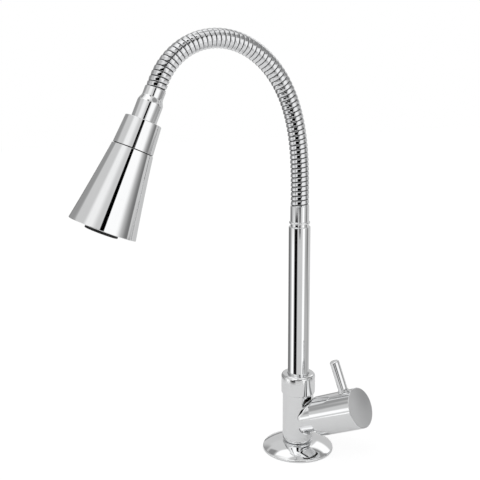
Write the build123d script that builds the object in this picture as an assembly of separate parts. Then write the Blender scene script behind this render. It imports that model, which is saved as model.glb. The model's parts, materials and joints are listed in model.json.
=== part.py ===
from build123d import *
from math import cos, radians, sin
import os

# Kitchen tap with a gooseneck hose, fixed through a deck or sink rim.
# All sizes are in millimetres. The origin is the centre of the flange's underside on the deck,
# +Z goes up the body, and the spout hangs over towards -Y.

# Clearances
thread_clearance = 0.05  # between a screwed piece and its hole, radial
seat_clearance = 0.02  # between pieces pushed or pressed together, radial
running_clearance = 0.05  # between pieces that turn in each other, radial
face_clearance = 0.1  # between faces that slide over each other
seam_gap = 0.35  # open seam between two turning shells
cut_over = 1.0  # how far a tool that cuts reaches past what it cuts

# Deck fixing
pipe_thread_diameter = 20.955
shank_bore = 12.0
shank_drop = 55.0  # how far the shank hangs below the deck
deck_thickness = 20.0
deck_hole_gap = 0.4  # between the shank and the plates it passes, radial
gasket_diameter = 56.0
gasket_hole = 30.0
gasket_thickness = 2.0
fixing_washer_diameter = 38.0
fixing_washer_thickness = 3.0
backnut_width = 30.0  # across flats
backnut_height = 8.0
backnut_edge = 0.5  # how far its lower face is smaller than its flats
backnut_crown = 1.8  # height of the rounding of its corners
shank_chamfer = 1.0
inlet_thread_length = 22.0  # the shank's lower end, for the supply hose
shank_relief_width = 2.0  # plain groove between the two threads of the shank
shank_relief_depth = 0.8

# Flange
flange_diameter = 64.5
flange_rim = 2.0
flange_height = 8.0
flange_crown_diameter = 29.0
flange_bulge = 1.1  # how far the dome swells above a straight cone
flange_rim_chamfer = 0.6

# Body
body_diameter = 28.0
body_top = 54.5
body_foot_chamfer = 0.8
shank_socket_depth = 8.0
inlet_way = 8.0
inlet_way_short = 1.5  # how far below the branch axis the inlet way ends
outlet_way = 10.0
outlet_way_bottom = 34.0
swivel_chamber_bottom = 43.0

# Branch that holds the valve, and the knob on it
branch_height = 26.3  # where the branch axis crosses the body axis
branch_rise = 24.3  # degrees above the deck
branch_azimuth = 26.2  # degrees from +X towards +Y
boss_diameter = 25.0
boss_length = 26.0
boss_edge_chamfer = 0.6
valve_seat = 4.0  # distance of the seat from the body axis
valve_port = 8.0
valve_bore = 18.6
valve_thread_length = 9.5

# Valve
seat_seal_width = 3.0
seat_seal_thickness = 2.0
disc_diameter = 15.0
disc_thickness = 2.2
disc_port_radius = 2.1
disc_port_offset = 4.0
valve_nose_diameter = 18.2
valve_window_width = 7.0
valve_window_length = 3.2
valve_window_start = 1.0  # how far the windows reach back over the moving disc
valve_nose_reach = 1.0  # how far the nose reaches over the seat seal
valve_thread_chamfer = 1.0
valve_thread_relief = 0.5
valve_nut_width = 22.0  # across flats
valve_nut_thickness = 5.0
valve_neck_diameter = 16.0
valve_neck_length = 6.0
spindle_diameter = 8.0
spindle_head_thickness = 2.4
spindle_reach = 21.0  # how far the spindle stands out of the valve's neck
spindle_ring_section = 1.08  # thickness of the two rings on the spindle
spindle_ring_spread = 3.0  # from the end of the boss to each of them
ring_groove_width = 2.2
clip_thickness = 0.9
clip_diameter = 12.0
clip_groove_depth = 0.8
clip_opening = 3.0

# Knob and lever
knob_diameter = 35.4
knob_length = 44.4
knob_gap = 0.8  # between the boss and the knob
knob_wall = 2.6
knob_skirt_depth = 20.0
knob_pocket_diameter = 17.0
knob_pocket_depth = 9.0
knob_edge_chamfer = 0.7
cap_diameter = 33.4
cap_thickness = 2.0
cap_proud = 0.15
screw_head_diameter = 7.0
screw_head_height = 3.2
screw_diameter = 4.0
screw_depth = 7.0
screw_slot_width = 1.0
screw_slot_depth = 1.2
screw_hole_gap = 0.2  # between the screw and its hole in the knob, radial
screw_end_gap = 1.0  # from the screw's end to the floor of its tapped hole
spindle_end_gap = 0.2  # from the spindle's end to the floor of the knob's hub
lever_diameter = 7.5
lever_length = 28.6  # outside the knob
lever_place = 60.8  # distance of the lever from the body axis, along the branch
lever_lean = 6.5  # degrees outwards
lever_turn = 5.0  # degrees round the branch axis from straight up
lever_tip_chamfer = 0.9
lever_foot_diameter = 9.6
lever_foot_height = 0.9
lever_foot_sink = 0.6
lever_foot_bevel = 0.3
lever_foot_gap = 0.1  # between the foot and its seat in the knob, radial
lever_stud_diameter = 5.0
lever_stud_depth = 4.5
lever_stud_gap = 0.5  # from the stud's end to the floor of its hole

# Spout nut, swivel and riser
collar_diameter = 30.6
collar_top = 73.2
collar_round = 2.6
collar_lip = 3.2
collar_bottom_chamfer = 0.6
collar_thread_diameter = 24.0
swivel_spigot_height = 11.5
swivel_stem_diameter = 18.0
swivel_stem_length = 20.0
swivel_bore = 11.0
swivel_shoulder_diameter = 22.4
swivel_shoulder_height = 1.8
swivel_ring_section = 1.26  # thickness of the two rings on the stem
swivel_ring_low = 4.0  # from the stem's end to the lower ring
swivel_ring_high = 7.0  # from the body's top edge down to the upper ring
riser_diameter = 19.05
riser_wall = 1.2
riser_top = 209.2
riser_top_round = 0.9
riser_plug_length = 9.0
riser_gap = 0.3  # between the riser and the hole in the spout nut, radial

# Lower end of the hose
ferrule_diameter = 16.4
ferrule_bead_diameter = 18.3
ferrule_bead_height = 2.2
ferrule_bead_chamfer = 0.6
ferrule_neck_height = 2.2
ferrule_neck_diameter = 16.0
ferrule_reach = 18.8  # from the riser's top to the first bend of the hose

# Gooseneck hose
hose_diameter = 16.2
rib_root_diameter = 14.5
rib_width = 2.75
rib_slope = 0.2
rib_groove = 1.25
ribs_per_link = 4
link_count = 15
hose_bore = 11.2
link_bore = 11.8  # a little wider than the bore of the lips
hose_turn = 156.0  # degrees from straight up to the head's axis
hose_turn_rise = 1.16  # how slowly the curve tightens after the riser
hose_turn_fall = 0.16  # how fast it eases before the head
bend_gap = 1.5  # free groove at each place where the hose bends
lip_diameter = 13.9  # lip inside each of those grooves
lip_length = 1.4
lip_clearance = 0.5  # radial, so that the lip can tilt in its socket
lip_root = 0.4  # how far the lip is rooted in its own link
socket_depth = 2.0
hose_edge_chamfer = 0.2

# Head
sleeve_diameter = 16.8
sleeve_length = 12.4  # straight part of the sleeve, from the last bend
bell_length = 6.0
neck_diameter = 20.5
neck_length = 14.0
neck_spigot_diameter = 17.0
neck_spigot_length = 6.0
head_top_diameter = 29.4
head_ring_length = 23.2
head_seam_diameter = 32.8
head_wall = 2.2
head_edge_chamfer = 0.5
head_floor = 4.0
head_spigot_diameter = 22.0
head_spigot_length = 9.0
head_water_hole = 7.0
head_washer_thickness = 1.6
cone_seam_diameter = 33.6
cone_mouth_diameter = 55.0
cone_length = 66.3
cone_flare = 0.3  # how far the cone's side is hollowed, as on a trumpet
cone_wall = 1.6
cone_hub_length = 6.0
cone_clip_thickness = 1.0
cone_clip_width = 2.4
cone_clip_opening = 5.0
cone_ring_section = 1.6
cone_ring_gap = 0.2  # beside the ring in its groove
selector_thickness = 2.4
selector_port_radius = 2.2
selector_port_offset = 4.4
jet_tube_diameter = 13.0
jet_tube_bore = 9.6
spray_face_inset = 3.0  # from the cone's rim to the spray face
spray_face_thickness = 2.2
spray_face_gap = 0.15
spray_hole_diameter = 1.6
spray_hole_count = 12
spray_hole_circle = 38.0
aerator_diameter = 27.0
aerator_proud = 2.2  # how far the aerator stands below the cone's rim
aerator_wall = 2.0
aerator_stem_diameter = 16.0
aerator_stem_length = 6.0
screen_thickness = 0.8
screen_hole_count = 8
screen_hole_diameter = 3.7
screen_hole_circle = 13.8

pipe_radius = pipe_thread_diameter / 2
knob_start = boss_length + knob_gap
knob_end = knob_start + knob_length
hose_radius = hose_diameter / 2
root_radius = rib_root_diameter / 2
bore_radius = hose_bore / 2
lip_radius = lip_diameter / 2
riser_bore_radius = riser_diameter / 2 - riser_wall
hose_start = riser_top + ferrule_reach


def turned(outline, frame=Plane.XY):
    # A turned piece from the corners of half its section, as (radius, height), set in a frame
    corners = [(radius, 0, height) for radius, height in outline]
    section = make_face(Polyline(*corners, close=True))
    return frame * revolve(section, Axis.Z)


def rod(radius, bottom, top):
    # A plain round rod along Z between two heights
    standing = (Align.CENTER, Align.CENTER, Align.MIN)
    return Pos(0, 0, bottom) * Cylinder(radius, top - bottom, align=standing)


def tube(outer, inner, bottom, top):
    return rod(outer, bottom, top) - rod(inner, bottom - cut_over, top + cut_over)


def sealing_ring(outer, section, height):
    # A rubber ring of square section, pressed into its groove, whose outside is at the radius outer
    return tube(outer, outer - section, height - section / 2, height + section / 2)


def hexagon(width, bottom, top):
    across_corners = width / 2 / cos(radians(30))
    outline = RegularPolygon(across_corners, 6)
    return Pos(0, 0, bottom) * extrude(outline, top - bottom)


def circle_edges(solid, radius, height):
    # The round edges of one radius at one height, for a fillet or a chamfer
    found = []
    for edge in solid.edges().filter_by(GeomType.CIRCLE):
        if abs(edge.radius - radius) < 0.001 and abs(edge.center().Z - height) < 0.001:
            found.append(edge)
    return found


# Frames: the branch points away from the body axis, and the lever stands on the knob

branch_direction = Vector(
    cos(radians(branch_rise)) * cos(radians(branch_azimuth)),
    cos(radians(branch_rise)) * sin(radians(branch_azimuth)),
    sin(radians(branch_rise)),
)
branch_side = Vector(-sin(radians(branch_azimuth)), cos(radians(branch_azimuth)), 0)
branch = Plane(origin=(0, 0, branch_height), x_dir=branch_side, z_dir=branch_direction)


# Fixing through the deck


def make_flange():
    # A domed disc, hollow below, whose crown carries the body's foot
    rim = flange_diameter / 2
    crown = flange_crown_diameter / 2
    hole = pipe_radius + deck_hole_gap
    middle = ((rim + crown) / 2, 0, (flange_rim + flange_height) / 2 + flange_bulge)
    dome = ThreePointArc((rim, 0, flange_rim), middle, (crown, 0, flange_height))
    sides = Polyline(
        (crown, 0, flange_height),
        (hole, 0, flange_height),
        (hole, 0, gasket_thickness),
        (gasket_diameter / 2 + deck_hole_gap, 0, gasket_thickness),
        (gasket_diameter / 2 + deck_hole_gap, 0, 0),
        (rim, 0, 0),
        (rim, 0, flange_rim),
    )
    solid = revolve(make_face([dome, *sides.edges()]), Axis.Z)
    return chamfer(circle_edges(solid, rim, flange_rim), flange_rim_chamfer)


def make_gasket():
    return tube(gasket_diameter / 2, gasket_hole / 2, 0, gasket_thickness)


def make_shank():
    # The threaded tube that hangs through the deck and takes the supply hose
    top = flange_height + shank_socket_depth - seat_clearance
    solid = tube(pipe_radius, shank_bore / 2, -shank_drop, top)
    relief = inlet_thread_length - shank_drop
    relief_root = pipe_radius - shank_relief_depth
    solid -= tube(pipe_radius + cut_over, relief_root, relief, relief + shank_relief_width)
    return chamfer(circle_edges(solid, pipe_radius, -shank_drop), shank_chamfer)


def make_fixing_washer():
    bottom = -deck_thickness - fixing_washer_thickness
    return tube(fixing_washer_diameter / 2, pipe_radius + deck_hole_gap, bottom, -deck_thickness)


def make_backnut():
    top = -deck_thickness - fixing_washer_thickness
    nut = hexagon(backnut_width, top - backnut_height, top)
    corners = backnut_width / 2 / cos(radians(30))
    crown = turned([
        (0, top - backnut_height),
        (backnut_width / 2 - backnut_edge, top - backnut_height),
        (corners, top - backnut_height + backnut_crown),
        (corners, top),
        (0, top),
    ])
    return (nut & crown) - rod(pipe_radius + thread_clearance, -shank_drop, 0)


# Body and spout nut

swivel_spigot_top = body_top + swivel_spigot_height


def make_body():
    barrel = turned([
        (0, flange_height),
        (body_diameter / 2 - body_foot_chamfer, flange_height),
        (body_diameter / 2, flange_height + body_foot_chamfer),
        (body_diameter / 2, body_top),
        (collar_thread_diameter / 2, body_top),
        (collar_thread_diameter / 2, swivel_spigot_top),
        (0, swivel_spigot_top),
    ])
    boss = branch * turned([
        (0, 0),
        (boss_diameter / 2, 0),
        (boss_diameter / 2, boss_length - boss_edge_chamfer),
        (boss_diameter / 2 - boss_edge_chamfer, boss_length),
        (0, boss_length),
    ])
    solid = barrel + boss
    solid -= rod(pipe_radius + thread_clearance, 0, flange_height + shank_socket_depth)
    solid -= rod(inlet_way / 2, flange_height, branch_height - inlet_way_short)
    solid -= branch * rod(valve_port / 2, -2 * cut_over, valve_seat + cut_over)
    solid -= branch * rod(valve_bore / 2, valve_seat, boss_length + cut_over)
    thread_start = boss_length - valve_thread_length
    solid -= branch * rod(pipe_radius + thread_clearance, thread_start, boss_length + cut_over)
    solid -= rod(outlet_way / 2, outlet_way_bottom, swivel_spigot_top)
    chamber = swivel_stem_diameter / 2 + running_clearance
    solid -= rod(chamber, swivel_chamber_bottom, swivel_spigot_top + cut_over)
    return solid


def make_collar():
    # The spout nut: screwed on the body, its lip keeps the spout's shoulder down
    hole = riser_diameter / 2 + riser_gap
    thread = collar_thread_diameter / 2 + thread_clearance
    solid = turned([
        (thread, body_top),
        (collar_diameter / 2, body_top),
        (collar_diameter / 2, collar_top),
        (hole, collar_top),
        (hole, collar_top - collar_lip),
        (thread, collar_top - collar_lip),
    ])
    solid = fillet(circle_edges(solid, collar_diameter / 2, collar_top), collar_round)
    return chamfer(circle_edges(solid, collar_diameter / 2, body_top), collar_bottom_chamfer)


# Valve in the branch: all heights below are distances from the body axis along the branch

seal_end = valve_seat + seat_seal_thickness
fixed_disc_end = seal_end + disc_thickness
moving_disc_start = fixed_disc_end + face_clearance
moving_disc_end = moving_disc_start + disc_thickness
spindle_head_start = moving_disc_end + face_clearance
spindle_head_end = spindle_head_start + spindle_head_thickness
valve_neck_end = boss_length + valve_nut_thickness + valve_neck_length
spindle_end = valve_neck_end + spindle_reach
disc_chamber = disc_diameter / 2 + running_clearance
ring_place_low = boss_length - spindle_ring_spread
ring_place_high = boss_length + spindle_ring_spread


def make_seat_seal():
    outer = disc_diameter / 2 - seat_clearance
    return branch * tube(outer, outer - seat_seal_width, valve_seat, seal_end)


def ceramic_disc(bottom):
    # A polished disc with two round ports, open when they line up with its pair
    disc = rod(disc_diameter / 2 - seat_clearance, bottom, bottom + disc_thickness)
    drill = rod(disc_port_radius, bottom - cut_over, bottom + disc_thickness + cut_over)
    for side in (-1, 1):
        disc -= Pos(0, side * disc_port_offset, 0) * drill
    return disc


def make_fixed_disc():
    return branch * ceramic_disc(seal_end)


def make_moving_disc():
    # Shut at rest: its ports lie a quarter turn away from the fixed ones
    return branch * (Rot(0, 0, 90) * ceramic_disc(moving_disc_start))


def make_valve_body():
    spindle_hole = spindle_diameter / 2 + running_clearance
    thread_start = boss_length - valve_thread_length
    solid = turned([
        (disc_chamber, seal_end - valve_nose_reach),
        (valve_nose_diameter / 2, seal_end - valve_nose_reach),
        (valve_nose_diameter / 2, thread_start + valve_thread_relief),
        (pipe_radius, thread_start + valve_thread_relief + valve_thread_chamfer),
        (pipe_radius, boss_length),
        (valve_neck_diameter / 2, boss_length),
        (valve_neck_diameter / 2, valve_neck_end),
        (spindle_hole, valve_neck_end),
        (spindle_hole, spindle_head_end + face_clearance),
        (disc_chamber, spindle_head_end + face_clearance),
    ])
    nut = hexagon(valve_nut_width, boss_length, boss_length + valve_nut_thickness)
    solid += nut - rod(spindle_hole, boss_length - cut_over, valve_neck_end)
    window_middle = moving_disc_end + valve_window_length / 2 - valve_window_start
    window = Box(valve_nose_diameter + 2 * cut_over, valve_window_width, valve_window_length)
    return branch * (solid - Pos(0, 0, window_middle) * window)


def make_spindle():
    # A driving head over the moving disc, two ring grooves, a clip groove and a tapped end
    radius = spindle_diameter / 2
    groove = radius - spindle_ring_section
    half = ring_groove_width / 2
    clip_low = valve_neck_end + face_clearance
    clip_high = clip_low + clip_thickness
    clip_groove = radius - clip_groove_depth
    head = disc_diameter / 2 - seat_clearance
    solid = turned([
        (0, spindle_head_start),
        (head, spindle_head_start),
        (head, spindle_head_end),
        (radius, spindle_head_end),
        (radius, ring_place_low - half),
        (groove, ring_place_low - half),
        (groove, ring_place_low + half),
        (radius, ring_place_low + half),
        (radius, ring_place_high - half),
        (groove, ring_place_high - half),
        (groove, ring_place_high + half),
        (radius, ring_place_high + half),
        (radius, clip_low),
        (clip_groove, clip_low),
        (clip_groove, clip_high),
        (radius, clip_high),
        (radius, spindle_end),
        (0, spindle_end),
    ])
    port = rod(disc_port_radius, seal_end, spindle_head_end + cut_over)
    for side in (-1, 1):
        solid -= Pos(side * disc_port_offset, 0, 0) * port
    tapped = screw_diameter / 2 + seat_clearance
    solid -= rod(tapped, spindle_end - screw_depth, spindle_end + cut_over)
    return branch * solid


def make_spindle_rings():
    rings = []
    for place in (ring_place_low, ring_place_high):
        rings.append(branch * sealing_ring(spindle_diameter / 2, spindle_ring_section, place))
    return Compound(children=rings)


def make_spindle_clip():
    bottom = valve_neck_end + face_clearance
    inner = spindle_diameter / 2 - clip_groove_depth
    ring = tube(clip_diameter / 2, inner, bottom, bottom + clip_thickness)
    opening = Pos(clip_diameter / 2, 0, bottom) * Box(clip_diameter, clip_opening, 3 * clip_thickness)
    return branch * (ring - opening)


# Knob, cap, screw and lever, all turning with the spindle

knob_radius = knob_diameter / 2
knob_floor = knob_start + knob_skirt_depth
knob_pocket_floor = knob_end - cap_thickness - knob_pocket_depth
lever_direction = (
    -sin(radians(lever_turn)) * cos(radians(lever_lean)),
    cos(radians(lever_turn)) * cos(radians(lever_lean)),
    sin(radians(lever_lean)),
)
lever_across = -sin(radians(lever_turn)) * knob_radius
lever_up = cos(radians(lever_turn)) * knob_radius
lever_origin = (lever_across, lever_up, lever_place)
lever_frame = Plane(origin=lever_origin, x_dir=(0, 0, 1), z_dir=lever_direction)


def make_knob():
    # A deep shell over the valve: skirt, splined hub, screw pocket and a recess for the cap
    solid = turned([
        (knob_radius - knob_wall, knob_start),
        (knob_radius, knob_start),
        (knob_radius, knob_end - knob_edge_chamfer),
        (knob_radius - knob_edge_chamfer, knob_end),
        (cap_diameter / 2 + seat_clearance, knob_end),
        (cap_diameter / 2 + seat_clearance, knob_end - cap_thickness),
        (knob_pocket_diameter / 2, knob_end - cap_thickness),
        (knob_pocket_diameter / 2, knob_pocket_floor),
        (screw_diameter / 2 + screw_hole_gap, knob_pocket_floor),
        (screw_diameter / 2 + screw_hole_gap, spindle_end + spindle_end_gap),
        (spindle_diameter / 2 + seat_clearance, spindle_end + spindle_end_gap),
        (spindle_diameter / 2 + seat_clearance, knob_floor),
        (knob_radius - knob_wall, knob_floor),
    ])
    foot = lever_foot_diameter / 2 + lever_foot_gap
    stud = lever_stud_diameter / 2 + seat_clearance
    solid -= lever_frame * rod(foot, -lever_foot_sink, 3 * lever_foot_height)
    solid -= lever_frame * rod(stud, -lever_foot_sink - lever_stud_depth, 0)
    return branch * solid


def make_knob_cap():
    top = knob_end + cap_proud
    solid = rod(cap_diameter / 2, knob_end - cap_thickness, top)
    return branch * chamfer(circle_edges(solid, cap_diameter / 2, top), cap_proud)


def make_knob_screw():
    head_top = knob_pocket_floor + screw_head_height
    head = rod(screw_head_diameter / 2, knob_pocket_floor, head_top)
    shaft = rod(screw_diameter / 2, spindle_end - screw_depth + screw_end_gap, knob_pocket_floor)
    slot = Pos(0, 0, head_top) * Box(screw_head_diameter + cut_over, screw_slot_width, 2 * screw_slot_depth)
    return branch * (head + shaft - slot)


def make_lever():
    # A round pin with a bevelled tip, a small foot seated in the knob and a stud below it
    radius = lever_diameter / 2
    solid = turned([
        (0, -lever_foot_sink - lever_stud_depth + lever_stud_gap),
        (lever_stud_diameter / 2, -lever_foot_sink - lever_stud_depth + lever_stud_gap),
        (lever_stud_diameter / 2, -lever_foot_sink),
        (lever_foot_diameter / 2, -lever_foot_sink),
        (lever_foot_diameter / 2, lever_foot_height - lever_foot_bevel),
        (lever_foot_diameter / 2 - lever_foot_bevel, lever_foot_height),
        (radius, lever_foot_height),
        (radius, lever_length - lever_tip_chamfer),
        (radius - lever_tip_chamfer, lever_length),
        (0, lever_length),
    ])
    return branch * (lever_frame * solid)


# Spout swivel and riser

shoulder_bottom = swivel_spigot_top + face_clearance
shoulder_top = shoulder_bottom + swivel_shoulder_height
glide_top = collar_top - collar_lip - face_clearance
stem_ring_low = swivel_spigot_top - swivel_stem_length + swivel_ring_low
stem_ring_high = swivel_spigot_top - swivel_ring_high


def make_spout_bush():
    # The turning end of the spout: a stem with two rings, a shoulder and a plug for the riser
    stem = swivel_stem_diameter / 2
    groove = stem - swivel_ring_section
    half = ring_groove_width / 2
    plug = riser_bore_radius - seat_clearance
    return turned([
        (swivel_bore / 2, swivel_spigot_top - swivel_stem_length),
        (stem, swivel_spigot_top - swivel_stem_length),
        (stem, stem_ring_low - half),
        (groove, stem_ring_low - half),
        (groove, stem_ring_low + half),
        (stem, stem_ring_low + half),
        (stem, stem_ring_high - half),
        (groove, stem_ring_high - half),
        (groove, stem_ring_high + half),
        (stem, stem_ring_high + half),
        (stem, shoulder_bottom),
        (swivel_shoulder_diameter / 2, shoulder_bottom),
        (swivel_shoulder_diameter / 2, shoulder_top),
        (plug, shoulder_top),
        (plug, shoulder_top + riser_plug_length),
        (swivel_bore / 2, shoulder_top + riser_plug_length),
    ])


def make_spout_rings():
    rings = []
    for place in (stem_ring_low, stem_ring_high):
        rings.append(sealing_ring(swivel_stem_diameter / 2, swivel_ring_section, place))
    return Compound(children=rings)


def make_glide_ring():
    inner = riser_diameter / 2 + seat_clearance
    return tube(swivel_shoulder_diameter / 2, inner, shoulder_top, glide_top)


def make_riser():
    solid = tube(riser_diameter / 2, riser_bore_radius, shoulder_top, riser_top)
    return fillet(circle_edges(solid, riser_diameter / 2, riser_top), riser_top_round)


# Gooseneck hose: a row of ribbed links, each curved by its share of the whole turn.
# The hose bends in the free grooves between the links.

link_pitch = ribs_per_link * rib_width + (ribs_per_link - 1) * rib_groove + bend_gap


def across_hose(point, heading):
    # A plane square to the hose, which heads some degrees from straight up towards -Y
    direction = (0, -sin(radians(heading)), cos(radians(heading)))
    return Plane(origin=point, x_dir=(1, 0, 0), z_dir=direction)


def ahead(plane, distance):
    return plane.origin + plane.z_dir * distance


def share_turn():
    # The turn of each link: the hose leaves the riser straight and tightens towards the head
    weights = []
    for number in range(link_count):
        place = (number + 0.5) / link_count
        weights.append(place ** hose_turn_rise * (1 - place) ** hose_turn_fall)
    return [hose_turn * weight / sum(weights) for weight in weights]


def walk_link(bend, heading, turn):
    # From one bend to the next: the plane at the start of each rib, the next bend and its heading
    rib_start = across_hose(ahead(bend, bend_gap / 2), heading)
    planes = [rib_start]
    for groove in range(ribs_per_link - 1):
        corner = ahead(planes[-1], rib_width + rib_groove / 2)
        heading += turn / (ribs_per_link - 1)
        turned_plane = across_hose(corner, heading)
        planes.append(across_hose(ahead(turned_plane, rib_groove / 2), heading))
    next_bend = across_hose(ahead(planes[-1], rib_width + bend_gap / 2), heading)
    return planes, next_bend, heading


link_turns = share_turn()
bends = [across_hose((0, 0, hose_start), 0)]
link_ribs = []
hose_heading = 0
for link_turn in link_turns:
    rib_planes, bend_plane, hose_heading = walk_link(bends[-1], hose_heading, link_turn)
    link_ribs.append(rib_planes)
    bends.append(bend_plane)
head = bends[-1]


def rib_sections(plane, first, last):
    # The four circles of one rib; at a bend its end face is flat, with a small chamfer
    low_radius = hose_radius - hose_edge_chamfer if first else root_radius
    high_radius = hose_radius - hose_edge_chamfer if last else root_radius
    places = [
        (0, low_radius),
        (rib_slope, hose_radius),
        (rib_width - rib_slope, hose_radius),
        (rib_width, high_radius),
    ]
    circles = []
    for distance, radius in places:
        circles.append(Plane(ahead(plane, distance), plane.x_dir, plane.z_dir) * Circle(radius))
    return circles


def bend_lip(bend):
    # The lip that reaches across a bend into the socket of the next link
    return bend * tube(lip_radius, bore_radius, -bend_gap / 2 - lip_root, lip_length)


def lip_socket(bend):
    return bend * rod(lip_radius + lip_clearance, 0, bend_gap / 2 + socket_depth)


def make_link(number):
    planes = link_ribs[number]
    sections = []
    for rib, plane in enumerate(planes):
        sections += rib_sections(plane, rib == 0, rib == ribs_per_link - 1)
    solid = loft(sections, ruled=True)
    across = bends[number + 1].origin - bends[number].origin
    bore = Plane(origin=bends[number].origin, z_dir=across) * rod(link_bore / 2, 0, across.length)
    solid = solid - bore - lip_socket(bends[number])
    return solid + bend_lip(bends[number + 1])


def make_lower_ferrule():
    # Plug, neck, bead and sleeve between the riser and the first bend
    neck = ferrule_neck_diameter / 2
    bead = ferrule_bead_diameter / 2
    sleeve = ferrule_diameter / 2
    bead_bottom = riser_top + ferrule_neck_height
    bead_top = bead_bottom + ferrule_bead_height
    plug = riser_bore_radius - seat_clearance
    top = hose_start - bend_gap / 2
    solid = turned([
        (bore_radius, riser_top - riser_plug_length),
        (plug, riser_top - riser_plug_length),
        (plug, riser_top),
        (neck, riser_top),
        (neck, bead_bottom),
        (bead, bead_bottom),
        (bead, bead_top),
        (sleeve, bead_top),
        (sleeve, top),
        (bore_radius, top),
    ])
    edges = circle_edges(solid, bead, bead_bottom) + circle_edges(solid, bead, bead_top)
    return chamfer(edges, ferrule_bead_chamfer) + bend_lip(bends[0])


# Head: all heights below are distances from the last bend along the head's axis

bell_end = sleeve_length + bell_length
neck_end = bell_end + neck_length
spigot_end = neck_end + neck_spigot_length
ledge = spigot_end + head_washer_thickness
ring_floor = neck_end + head_ring_length - head_floor
ring_end = neck_end + head_ring_length
cone_start = ring_end + seam_gap
cone_end = cone_start + cone_length
head_spigot_end = ring_end + head_spigot_length
clip_start = cone_start + cone_hub_length + face_clearance
spray_face_bottom = cone_end - spray_face_inset
spray_face_top = spray_face_bottom - spray_face_thickness
aerator_end = cone_end + aerator_proud
port_disc_start = head_spigot_end - selector_thickness
jet_tube_start = head_spigot_end + face_clearance
head_spigot_radius = head_spigot_diameter / 2
port_disc_radius = head_spigot_radius - head_wall


def make_neck():
    # The hose's end sleeve, swelling through a bell to the neck and its threaded end
    sleeve = sleeve_diameter / 2
    neck = neck_diameter / 2
    start = bend_gap / 2
    bell_middle = sleeve_length + bell_length / 2
    bell = Bezier(
        (sleeve, 0, sleeve_length),
        (sleeve, 0, bell_middle),
        (neck, 0, bell_middle),
        (neck, 0, bell_end),
    )
    sides = Polyline(
        (neck, 0, bell_end),
        (neck, 0, neck_end),
        (neck_spigot_diameter / 2, 0, neck_end),
        (neck_spigot_diameter / 2, 0, spigot_end),
        (bore_radius, 0, spigot_end),
        (bore_radius, 0, start),
        (sleeve, 0, start),
        (sleeve, 0, sleeve_length),
    )
    solid = revolve(make_face([bell, *sides.edges()]), Axis.Z)
    return head * solid - lip_socket(head)


def make_head_washer():
    outer = neck_spigot_diameter / 2
    return head * tube(outer, bore_radius, spigot_end, ledge)


def make_head_ring():
    # The upper shell: screwed on the neck, with a chamber and a hollow spigot for the cone
    top = head_top_diameter / 2
    seam = head_seam_diameter / 2
    thread = neck_spigot_diameter / 2 + thread_clearance
    chamber_top = ledge + head_wall
    groove = head_spigot_radius - cone_clip_width / 2
    ring_groove = head_spigot_radius - cone_ring_section
    ring_middle = cone_start + cone_hub_length / 2
    ring_half = cone_ring_section / 2 + cone_ring_gap
    return head * turned([
        (thread, neck_end),
        (top - head_edge_chamfer, neck_end),
        (top, neck_end + head_edge_chamfer),
        (seam, ring_end),
        (head_spigot_radius, ring_end),
        (head_spigot_radius, ring_middle - ring_half),
        (ring_groove, ring_middle - ring_half),
        (ring_groove, ring_middle + ring_half),
        (head_spigot_radius, ring_middle + ring_half),
        (head_spigot_radius, clip_start),
        (groove, clip_start),
        (groove, clip_start + cone_clip_thickness),
        (head_spigot_radius, clip_start + cone_clip_thickness),
        (head_spigot_radius, head_spigot_end),
        (port_disc_radius + seat_clearance, head_spigot_end),
        (port_disc_radius + seat_clearance, port_disc_start),
        (head_water_hole, port_disc_start),
        (head_water_hole, ring_floor),
        (top - 2 * head_wall, ring_floor),
        (top - 2 * head_wall, chamber_top),
        (bore_radius, chamber_top),
        (bore_radius, ledge),
        (thread, ledge),
    ])


def selector_ports(start):
    # The two drills that pass the water through a selector plate which starts at one height
    drills = []
    drill = rod(selector_port_radius, start - cut_over, start + selector_thickness + cut_over)
    for side in (-1, 1):
        drills.append(Pos(0, side * selector_port_offset, 0) * drill)
    return drills


def make_port_disc():
    disc = rod(port_disc_radius, port_disc_start, port_disc_start + selector_thickness)
    return head * (disc - selector_ports(port_disc_start))


def make_cone_ring():
    return head * sealing_ring(head_spigot_radius, cone_ring_section, cone_start + cone_hub_length / 2)


def make_cone_clip():
    outer = head_spigot_radius + cone_clip_width / 2
    inner = head_spigot_radius - cone_clip_width / 2
    ring = tube(outer, inner, clip_start, clip_start + cone_clip_thickness)
    opening = Box(2 * cone_clip_width + 2 * cut_over, cone_clip_opening, 3 * cone_clip_thickness)
    return head * (ring - Pos(outer, 0, clip_start) * opening)


def cone_outside():
    # The whole round form, its side slightly hollowed
    low = (cone_seam_diameter / 2, 0, cone_start)
    high = (cone_mouth_diameter / 2, 0, cone_end)
    middle = ((low[0] + high[0]) / 2 - cone_flare, 0, (cone_start + cone_end) / 2)
    side = ThreePointArc(low, middle, high)
    rest = Polyline(high, (0, 0, cone_end), (0, 0, cone_start), low)
    return revolve(make_face([side, *rest.edges()]), Axis.Z)


def cone_inside(inset):
    # The plain cone inside the wall, set in further where a piece fits it
    return turned([
        (0, cone_start),
        (cone_seam_diameter / 2 - cone_wall - inset, cone_start),
        (cone_mouth_diameter / 2 - cone_wall - inset, cone_end),
        (0, cone_end),
    ])


def make_cone():
    # The turning lower shell with its hub on the spigot
    hub_hole = head_spigot_radius + running_clearance
    roof = cone_start + head_wall
    inside = cone_inside(0) & rod(cone_mouth_diameter, roof, cone_end)
    hub_outer = head_spigot_radius + head_wall
    hub = tube(hub_outer, hub_hole, cone_start, cone_start + cone_hub_length)
    solid = cone_outside() - inside + hub
    hub_end = cone_start + cone_hub_length
    return head * (solid - rod(hub_hole, cone_start - cut_over, hub_end + cut_over))


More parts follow.
